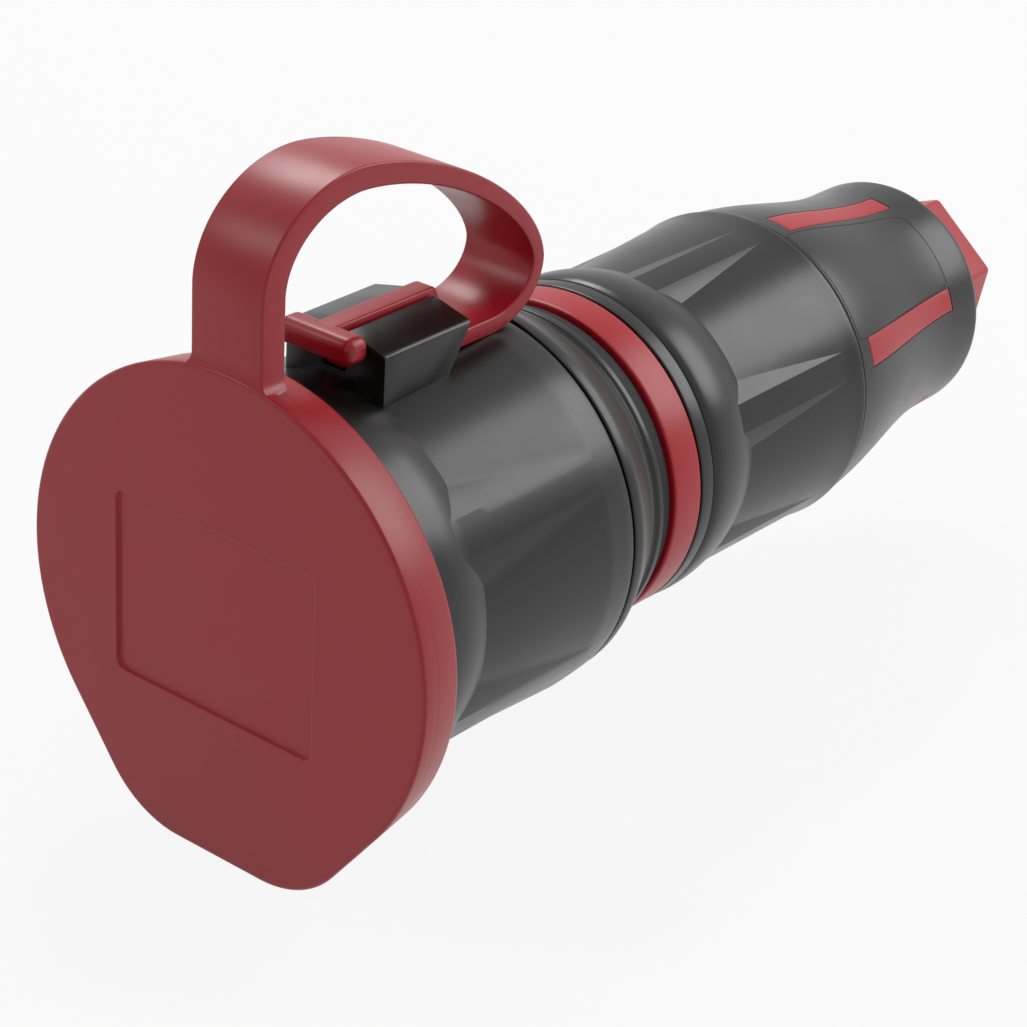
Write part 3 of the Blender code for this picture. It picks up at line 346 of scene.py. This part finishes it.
FILLET, STRAP_HALF, STRAP_CORNER = 1.9, 5.4, 0.3
line, thick, way = strap_line(340)
corner_angle = np.radians(np.linspace(0, 90, 6))
quarter = np.stack([np.cos(corner_angle), np.sin(corner_angle)], 1) * STRAP_CORNER
corners = []
for number, (sx, sn) in enumerate(((1, 1), (-1, 1), (-1, -1), (1, -1))):
    arc = quarter if number % 2 == 0 else quarter[::-1]
    corners += [(c * sx, s * sn, sx, sn) for c, s in arc]
round_x, round_n, side_x, side_n = np.array(corners).T
outward = round_n + side_n * (thick[:, None] / 2 - STRAP_CORNER)
at_leg = line[:, 0, None] < 3.0
foot_rise = np.clip((line[:, 1, None] - 30.6) / 1.6, 0.0, 1.0)
outward += np.where(at_leg & (side_n > 0), 0.3 * (1.0 - foot_rise) ** 2, 0.0)
depth = line[:, 0, None] - way[:, 1, None] * outward
height = line[:, 1, None] + way[:, 0, None] * outward
rim_height = np.sqrt(skirt_radius(np.maximum(depth, CAP_EDGE)) ** 2 - (STRAP_HALF + FILLET) ** 2) - 0.1
over = np.clip((height - rim_height) / FILLET, 0.0, 1.0)
flare = np.where(at_leg, FILLET * (1.0 - np.sqrt(1.0 - (1.0 - over) ** 2)), 0.0)
across = round_x + side_x * (STRAP_HALF + flare - STRAP_CORNER)
strap_grid = to_place(across, depth, height)
strap = piece("strap_band", [strap_grid], None, cap_red, edge=60.0)
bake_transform(strap)

# %% [markdown]
# ## The strap's anchor
# The end of the strap is a T: a web stands in the slot of the holder block and a rounded crossbar
# hooks in front of it.  The bar is a rounded section carried across, drawn in at both ends.

# %% Crossbar and web
def pillow(low, high, corner, count=9):
    """A box with all edges rounded: its sections along X shrink towards both ends by a quarter circle."""
    a = np.linspace(0.0, np.pi / 2, count)
    x = np.concatenate([low[0] + corner * (1 - np.cos(a)), high[0] - corner * (1 - np.cos(a[::-1]))])
    inset = np.concatenate([corner * (1 - np.sin(a)), corner * (1 - np.sin(a[::-1]))])
    rim_angle = np.linspace(0.0, 2 * np.pi, 48, endpoint=False)
    c, s = np.cos(rim_angle), np.sin(rim_angle)
    mid_d, mid_z = (low[1] + high[1]) / 2, (low[2] + high[2]) / 2
    half_d, half_z = (high[1] - low[1]) / 2 - corner, (high[2] - low[2]) / 2 - corner
    r = corner - inset[:, None]
    depth = mid_d + np.sign(np.round(c, 6)) * half_d + c * r
    height = mid_z + np.sign(np.round(s, 6)) * half_z + s * r
    return to_place(x[:, None] + 0 * depth, depth, height)


bar = pillow((-5.7, 14.4, 28.55), (5.7, 18.1, 31.95), 1.3)
web_side = rounded([(16.0, 31.95), (34.4, 31.95), (36.4, 27.0), (36.0, 26.3), (18.6, 26.3),
                    (17.6, 28.7), (16.0, 29.0)], (0.5, 0.6, 0.8, 0.1, 0.1, 0.3, 0.3))
steps = np.array([(-1.5, 0.35), (-1.4, 0.1), (-1.15, 0.0), (1.15, 0.0), (1.4, 0.1), (1.5, 0.35)])
web_mid = web_side.mean(0)
pull = 1.0 - steps[:, 1, None, None] / 6.0
web_points = web_mid + (web_side[None] - web_mid) * pull
web = to_place(steps[:, 0, None] + 0 * web_points[..., 0], web_points[..., 0], web_points[..., 1])
anchor = piece("strap_anchor", [bar, web], "root", cap_red, edge=50.0)
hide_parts("cap_strap")

# %% [markdown]
# ## Ribbed housings
# Both housings are round shells with six ribs.  Between the ribs lie shallow scallops: deepest in
# front, where they meet a rounded shoulder, and running out to nothing at the rear.  The flank of each
# rib narrows to a point.  The shell is one grid; its columns follow rib top, flank and scallop floor, and
# its rows follow the edges, so that every crease is a row or a column of points.

# %% Columns and rows of a ribbed skin
RIB_HALF = 5.15
SHOULDER_CURVE = 38.8


def ribbed(shoulder, end, bevel, rib_turn, lead, tail, crest_r, floor_r):
    """Rows of a ribbed skin.  Radius on the shoulder: its own radius less the square of the way behind
    it over SHOULDER_CURVE.  Behind the shoulder rib tops and scallop floors are straight lines to the
    end of the scallops, and the flanks narrow in step with them."""
    top, flank, low = 5, 7, 21
    place = np.concatenate([np.linspace(-1, 1, top), 1 + np.arange(1, flank) / flank,
                            2 + np.arange(low) / (low - 1), 3 + np.arange(1, flank) / flank])
    kind = np.clip(place, -1, 4)

    def turn_of(width):
        half = RIB_HALF + width
        a = np.interp(kind, (-1, 1, 2, 3, 4), (-RIB_HALF, RIB_HALF, half, 60 - half, 60 - RIB_HALF))
        return (a[None] + 60.0 * np.arange(6)[:, None]).ravel() + rib_turn

    lowness = np.tile(np.interp(kind, (-1, 1, 2, 3, 4), (0, 0, 1, 1, 0)), 6)
    radius_front = crest_r + (floor_r - crest_r) * lowness
    start = shoulder[0] + np.sqrt(np.maximum(SHOULDER_CURVE * (shoulder[1] - radius_front), 0.0))
    rows = []
    wide = bevel + 0.04
    for depth, radius in lead:
        rows.append(around(radius, depth, turn_of(wide)))
    for share in np.linspace(0.0, 1.0, 12):
        depth = shoulder[0] + (start - shoulder[0]) * share
        rows.append(around(shoulder[1] - (depth - shoulder[0]) ** 2 / SHOULDER_CURVE, depth, turn_of(wide)))
    for share in np.linspace(0.0, 1.0, 22)[1:]:
        depth = start + (end[0] - start) * share
        radius = radius_front + (end[1] - radius_front) * share
        narrow = bevel * (1.0 - share) + 0.04
        rows.append(around(radius, depth, turn_of(narrow)))
    for depth, radius in tail:
        rows.append(around(radius, depth, turn_of(0.04)))
    return np.stack(rows)


# %% [markdown]
# ## The front housing's skin
# The front housing is the part that the hand grips.  Rows before the shoulder make its front edge, and
# rows behind the scallops its rear edge.  The sharp edge at the end of the scallops is a row of its own.

# %% Front housing
def arc_rows(start, stop, bulge, count):
    """Rows from one (depth, radius) to another along a rounded edge."""
    start, corner, stop = np.array(start), np.array(bulge), np.array(stop)
    return [tuple((1 - t) ** 2 * start + 2 * t * (1 - t) * corner + t ** 2 * stop)
            for t in np.linspace(0, 1, count)]


front_lead = [(3.1, 22.7), (3.1, 25.9)] + arc_rows((3.15, 26.1), (3.6, 26.3), (3.2, 26.3), 4) + [
    (6.0, 26.25), (8.5, 26.12)]
front_tail = [(40.75, 25.765), (43.6, 25.64)] + arc_rows((44.7, 25.56), (45.4, 24.9), (45.4, 25.5), 6) + [
    (45.4, 22.7)]
front_grid = ribbed((11.0, 26.0), (40.6, 25.77), 9.4, 0.0, front_lead, front_tail, 25.5, 24.63)
front_skin = piece("front_housing_skin", [front_grid], "root", body_black, ring=True, edge=14.0)
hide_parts("front_housing")

# %% [markdown]
# ## The holder block
# A block with a low roof stands on the front housing and holds the strap's end.  A slot runs through
# it from front to rear for the web, so its section is a U that is carried along the axis.

# %% Holder block
block_line = rounded([(-7.7, 23.0), (7.7, 23.0), (7.7, 29.75), (1.75, 31.2), (1.75, 26.0),
                      (-1.75, 26.0), (-1.75, 31.2), (-7.7, 29.75)],
                     (0.0, 0.0, 0.55, 0.3, 0.2, 0.2, 0.3, 0.55), 5)


def block_row(depth, inset, lean):
    """The U section at one depth, drawn in by a small inset; lean slants it towards the foot."""
    x, z = block_line[:, 0], block_line[:, 1]
    z = np.where(z > 26.5, z - inset, z)
    x = np.where(np.abs(x) > 3.0, x - np.sign(x) * inset, x + np.sign(x) * inset)
    return to_place(x, depth - lean * np.clip(29.75 - z, 0, 10), z)


block_rows = [block_row(18.4, 0.25, 0), block_row(18.47, 0.08, 0), block_row(18.65, 0.0, 0)]
block_rows += [block_row(d, 0.0, s) for d, s in ((22.0, 0.12), (28.0, 0.38), (33.55, 0.63))]
block_rows += [block_row(33.72, 0.08, 0.63), block_row(33.8, 0.25, 0.63)]
holder = piece("strap_holder_block", [np.stack(block_rows)], "root", body_black, edge=30.0)

# %% [markdown]
# ## Rings between the housings
# Behind the front housing come a stepped grey collar, a dark gap with a rubber ring, the red locking
# ring and the flange of the threaded sleeve.  Each is a closed profile carried round the axis.

# %% Collar, seal, locking ring and threaded sleeve
collar_line = rounded([(19.0, 43.0), (22.4, 43.0), (22.4, 45.7), (25.4, 45.7), (25.4, 47.4), (22.7, 52.6),
                       (22.3, 53.9), (22.6, 54.25), (22.6, 55.2), (19.0, 55.2)],
                      (0, 0.3, 0.1, 0.35, 0.7, 0.8, 0.15, 0.15, 0.3, 0))
collar = piece("front_collar_ring", [lathe(collar_line)], "root", ring_grey, ring=True)
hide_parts("front_collar")
seal_line = rounded([(19.3, 55.5), (21.5, 55.5), (21.5, 58.0), (19.3, 58.0)], 0.3)
seal = piece("seal_ring_rubber", [lathe(seal_line)], "root", seal_black, ring=True)
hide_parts("seal_ring")
lock_line = rounded([(19.3, 58.3), (22.15, 58.3), (22.15, 63.7), (19.3, 63.7)], (0.1, 0.45, 0.3, 0.1))
lock = piece("locking_ring_red", [lathe(lock_line)], "root", trim_red, ring=True)
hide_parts("locking_ring")
sleeve_line = rounded([(16.5, 46.5), (18.7, 46.5), (18.7, 64.0), (22.2, 64.0), (22.2, 66.4), (18.7, 66.4),
                       (18.7, 78.0), (16.5, 78.0)], (0, 0.3, 0.1, 0.3, 0.3, 0.1, 0.3, 0))
thread = piece("threaded_sleeve_ring", [lathe(sleeve_line)], "root", ring_grey, ring=True)
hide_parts("threaded_sleeve")

# %% [markdown]
# ## Rear housing
# The rear housing has the same ribs, turned a little about the axis, and ends in a slim waisted
# sleeve.  Red bars are let into the sleeve, and each lies in its own shallow pocket.  The sleeve is
# a second grid with a column on each side of every pocket wall.

# %% Rear skin
REAR_TURN = 9.0
rear_lead = [(66.7, 19.0), (66.7, 21.6)] + arc_rows((66.75, 21.9), (68.2, 22.38), (67.1, 22.3), 5)
rear_tail = [(99.0, 22.05), (100.4, 22.2)] + arc_rows((101.0, 22.28), (101.55, 21.95), (101.5, 22.28), 5) + [
    (101.6, 21.2), (101.6, 18.6), (78.6, 18.6), (78.6, 19.0)]
rear_grid = ribbed((68.7, 22.4), (97.7, 21.95), 7.5, REAR_TURN, rear_lead, rear_tail, 21.6, 20.7)
rear_skin = piece("rear_housing_skin", [rear_grid], "root", body_black, ring=True, edge=14.0)

# %% [markdown]
# ## The waisted sleeve
# The sleeve is one moulding with the rear housing.  Its waist is half a cosine wave.  The pockets for
# the red bars are columns and rows that lie a little deeper; each wall is two columns close together.

# %% Waisted sleeve with pockets
WAIST_R, WAIST_SWELL = 17.2, 4.8
WAIST_START, WAIST_END = 99.0, 134.0
POCKET_DEEP = 0.75


def waist(depth):
    """Radius of the sleeve: WAIST_R plus WAIST_SWELL times half of one plus the cosine of a half turn
    that runs from WAIST_START to WAIST_END."""
    share = np.clip((depth - WAIST_START) / (WAIST_END - WAIST_START), 0, 1)
    return WAIST_R + WAIST_SWELL / 2 * (1 + np.cos(np.pi * share))


wedge = np.concatenate([[0, 2.5, 5.0, 5.65, 5.70], np.linspace(7.5, 52.5, 22), [54.30, 54.35, 55.0, 57.5]])
sleeve_turn = (wedge[None] + 60.0 * np.arange(6)[:, None]).ravel() + REAR_TURN
in_pocket_turn = np.tile((wedge <= 5.67) | (wedge >= 54.33), 6)
depths = np.concatenate([[101.5, 101.55, 102.2, 103.4, 104.58, 104.62], np.linspace(106.0, 131.0, 34),
                         [132.38, 132.42, 134.0, 136.0, 138.0]])
in_pocket_depth = (depths > 104.6) & (depths < 132.4)
radius = waist(depths)[:, None] - np.where(in_pocket_depth[:, None] & in_pocket_turn[None], POCKET_DEEP, 0.0)
radius[0] = 18.3
radius[1] = 21.55
sleeve_rows = around(radius, depths[:, None], sleeve_turn[None])
end_rows = [around(r, d, sleeve_turn) for d, r in arc_rows((138.3, 17.19), (139.5, 15.9), (139.5, 17.15), 7)]
bore = ((139.5, 13.3), (139.3, 13.0), (112.0, 13.0), (101.5, 17.5))
end_rows += [around(r, d, sleeve_turn) for d, r in bore]
sleeve = piece("rear_sleeve", [np.concatenate([sleeve_rows, np.stack(end_rows)])], "root", body_black,
               ring=True, edge=30.0)
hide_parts("rear_housing")

# %% [markdown]
# ## The bare panel
# Between two of the bars the real sleeve has a field with round corners, marked off by a fine groove.
# The field stays bare.  A groove would need a very fine grid, so a thin matte black ring is let into
# the skin along the field's outline instead, as painted shade of the groove: from a step away it reads as
# the same dark line.

# %% Painted groove shade round the bare panel
GROOVE_SHADE_R, GROOVE_SHADE_SUNK = 0.11, 0.06
MM_A_DEGREE = 0.305
field = rounded([(15.4, 102.6), (19.6, 132.3), (62.6, 132.3), (63.5, 102.6)], (2.0, 6.0, 3.0, 2.0), 9)
closed = np.concatenate([field, field[:1]])
trail = np.concatenate([a + (b - a) * np.linspace(0, 1, 12, endpoint=False)[:, None]
                        for a, b in zip(closed[:-1], closed[1:])])
spread = trail * (MM_A_DEGREE, 1.0)
ahead = np.roll(spread, -1, 0) - np.roll(spread, 1, 0)
ahead /= np.linalg.norm(ahead, axis=1)[:, None]
ring_turn = np.linspace(0.0, 2 * np.pi, 8, endpoint=False)
side = GROOVE_SHADE_R * np.cos(ring_turn)
groove_shade_grid = around(waist(trail[:, 1])[:, None] - GROOVE_SHADE_SUNK + GROOVE_SHADE_R * np.sin(ring_turn),
                   trail[:, 1, None] + side * -ahead[:, 0, None],
                   trail[:, 0, None] + side * ahead[:, 1, None] / MM_A_DEGREE)
# Painted shade: a matte black ring stands for the shade inside the groove round the bare panel.
piece("bare_panel_painted_groove_shade", [groove_shade_grid], "root", seal_black, ring=True, edge=80.0)

# %% [markdown]
# ## Grip inlays
# Six red bars follow the waist of the sleeve.  Each is a curved bar whose top lies flush with it.

# %% Six inlays
INLAY_THICK = 0.7


def inlay(middle):
    """A bar 10.8 degrees wide: its section is an outer arc and an inner arc, carried along the sleeve."""
    depth = np.concatenate([[104.72, 104.78], np.linspace(105.1, 131.9, 30), [132.22, 132.28]])
    drop = np.concatenate([[0.08, 0.02], np.zeros(30), [0.02, 0.08]])
    top = np.array([-5.4, -5.36, -5.2, -3, -1, 1, 3, 5.2, 5.36, 5.4])
    sag = np.array([0.08, 0.02, 0, 0, 0, 0, 0, 0, 0.02, 0.08])
    turn = np.concatenate([top, top[::-1]]) + middle
    low = np.concatenate([sag, np.full(10, INLAY_THICK)])
    outer = np.arange(20) < 10
    r = waist(depth)[:, None] - np.where(outer[None], np.maximum(low[None], drop[:, None]), INLAY_THICK)
    return around(r, depth[:, None], turn[None])


for number in range(6):
    bar_piece = piece("grip_inlay_bar_%d" % (number + 1), [inlay(REAR_TURN + 60.0 * number)], "root",
                      trim_red, edge=40.0)
    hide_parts("grip_inlay_%d" % (number + 1))

# %% [markdown]
# ## Gland nut
# The nut is a hexagon with softened corners, pierced for the cable, on a spigot inside the sleeve.  The
# real hole and spigot are round.  Here they have points only where the hexagon has its corners, so they
# come out six-sided; points along the hexagon's sides as well would make them round.

# %% Hexagonal nut
NUT_REACH, NUT_CORNER, NUT_TURN = 12.9, 0.5, 9.5
nut_angle = np.radians(NUT_TURN + 60.0 * np.arange(6))
outer = rounded(NUT_REACH * np.stack([np.sin(nut_angle), np.cos(nut_angle)], 1), NUT_CORNER, 4)
bearing = np.arctan2(outer[:, 0], outer[:, 1])
circle = np.stack([np.sin(bearing), np.cos(bearing)], 1)
nut_rows = [(circle * 7.5, 126.3), (circle * 12.2, 126.3), (circle * 12.7, 126.8), (circle * 12.7, 138.4),
            (outer * 0.9, 138.5), (outer, 138.6), (outer, 149.8), (outer * 0.992, 150.1),
            (outer * 0.965, 150.3), (circle * 8.0, 150.3), (circle * 7.6, 150.15), (circle * 7.5, 149.8)]
nut = piece("gland_nut_hexagon", [np.stack([to_place(p[:, 0], d, p[:, 1]) for p, d in nut_rows])], "root",
            trim_red, ring=True, edge=25.0)
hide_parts("gland_nut")

# %% [markdown]
# ## Inside pieces
# The recess, its contacts and the gland parts are only seen when the cap is open or from behind.
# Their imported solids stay, and take the same finishes.

# %% Finishes of the solids that stay
finish_of = {"black_housing": body_black, "grey_rings": ring_grey, "seal_rubber": seal_black,
             "pale_plastic": cage_pale, "brass_contacts": clip_brass, "steel_screws": screw_steel,
             "red_moulding": cap_red, "red_plastic": trim_red}
slot_of = {part["node"]: part["material_slot"] for part in frame["record"]["subparts"]}
for node, thing in frame["nodes"].items():
    thing.data.materials.clear()
    thing.data.materials.append(finish_of[slot_of[node]])
print("dressed", len(frame["nodes"]), "solids")

# %% [markdown]
# ## Studio
# The socket stands on a pale floor in soft light: a wide lamp behind it at the right, two smaller ones
# at the left that draw the two bright bands on the strap, and an even pale world.  The camera sees the
# world as white.

# %% Floor, world and lamps
FLOOR_HEIGHT, FLOOR_GLOW, WORLD_LIGHT = -0.0333, 0.9, 0.32


def white_rays(nodes, links, path, target):
    """Sends 1 to the target for camera, glossy and transmission rays, and 0 for the rest."""
    first = nodes.new("ShaderNodeMath")
    second = nodes.new("ShaderNodeMath")
    first.operation = second.operation = "MAXIMUM"
    links.new(path.outputs["Is Camera Ray"], first.inputs[0])
    links.new(path.outputs["Is Glossy Ray"], first.inputs[1])
    links.new(first.outputs[0], second.inputs[0])
    links.new(path.outputs["Is Transmission Ray"], second.inputs[1])
    links.new(second.outputs[0], target)


def plane(name, size, height, colour):
    """A level square that is seen white and still keeps a soft shadow."""
    mesh = bpy.data.meshes.new(name)
    corners = [(x * size, y * size, height) for x, y in ((-1, -1), (1, -1), (1, 1), (-1, 1))]
    mesh.from_pydata(corners, [], [(0, 1, 2, 3)])
    made = bpy.data.objects.new(name, mesh)
    bpy.context.scene.collection.objects.link(made)
    finish = bpy.data.materials.new(name)
    finish.use_nodes = True
    nodes, links = finish.node_tree.nodes, finish.node_tree.links
    plain = nodes["Principled BSDF"]
    plain.inputs["Base Color"].default_value = (*colour, 1.0)
    plain.inputs["Roughness"].default_value = 0.9
    glow = nodes.new("ShaderNodeEmission")
    path = nodes.new("ShaderNodeLightPath")
    mix = nodes.new("ShaderNodeMixShader")
    share = nodes.new("ShaderNodeMath")
    share.operation = "MULTIPLY"
    share.inputs[1].default_value = FLOOR_GLOW
    white_rays(nodes, links, path, share.inputs[0])
    links.new(share.outputs[0], mix.inputs["Fac"])
    links.new(plain.outputs[0], mix.inputs[1])
    links.new(glow.outputs[0], mix.inputs[2])
    links.new(mix.outputs[0], nodes["Material Output"].inputs["Surface"])
    made.data.materials.append(finish)


plane("studio_floor", 3.0, FLOOR_HEIGHT, (0.8, 0.8, 0.8))
world = bpy.data.worlds.new("studio_world")
bpy.context.scene.world = world
world.use_nodes = True
nodes, links = world.node_tree.nodes, world.node_tree.links
nodes.clear()
path = nodes.new("ShaderNodeLightPath")
seen = nodes.new("ShaderNodeBackground")
lit = nodes.new("ShaderNodeBackground")
mix = nodes.new("ShaderNodeMixShader")
out = nodes.new("ShaderNodeOutputWorld")
lit.inputs["Strength"].default_value = WORLD_LIGHT
white_rays(nodes, links, path, mix.inputs["Fac"])
links.new(lit.outputs[0], mix.inputs[1])
links.new(seen.outputs[0], mix.inputs[2])
links.new(mix.outputs[0], out.inputs["Surface"])


def lamp(name, place, target, size, power):
    """A square area lamp that looks at a target point."""
    data = bpy.data.lights.new(name, "AREA")
    data.shape = "SQUARE"
    data.size = size
    data.energy = power
    made = bpy.data.objects.new(name, data)
    bpy.context.scene.collection.objects.link(made)
    away = np.array(place, float) - np.array(target, float)
    z = away / np.linalg.norm(away)
    x = np.cross((0.0, 1.0, 0.01), z)
    x /= np.linalg.norm(x)
    y = np.cross(z, x)
    frame_matrix = np.eye(4)
    frame_matrix[:3, 0], frame_matrix[:3, 1], frame_matrix[:3, 2], frame_matrix[:3, 3] = x, y, z, place
    made.matrix_world = Matrix(frame_matrix.tolist())


lamp("key_lamp", (0.36, 0.63, 0.44), (0.0, 0.06, 0.0), 0.48, 2.8)
lamp("top_lamp", (-0.44, 0.31, 0.60), (0.0, 0.02, 0.04), 0.26, 1.9)
lamp("front_lamp", (-0.44, -0.45, 0.52), (0.0, 0.02, 0.04), 0.24, 0.75)
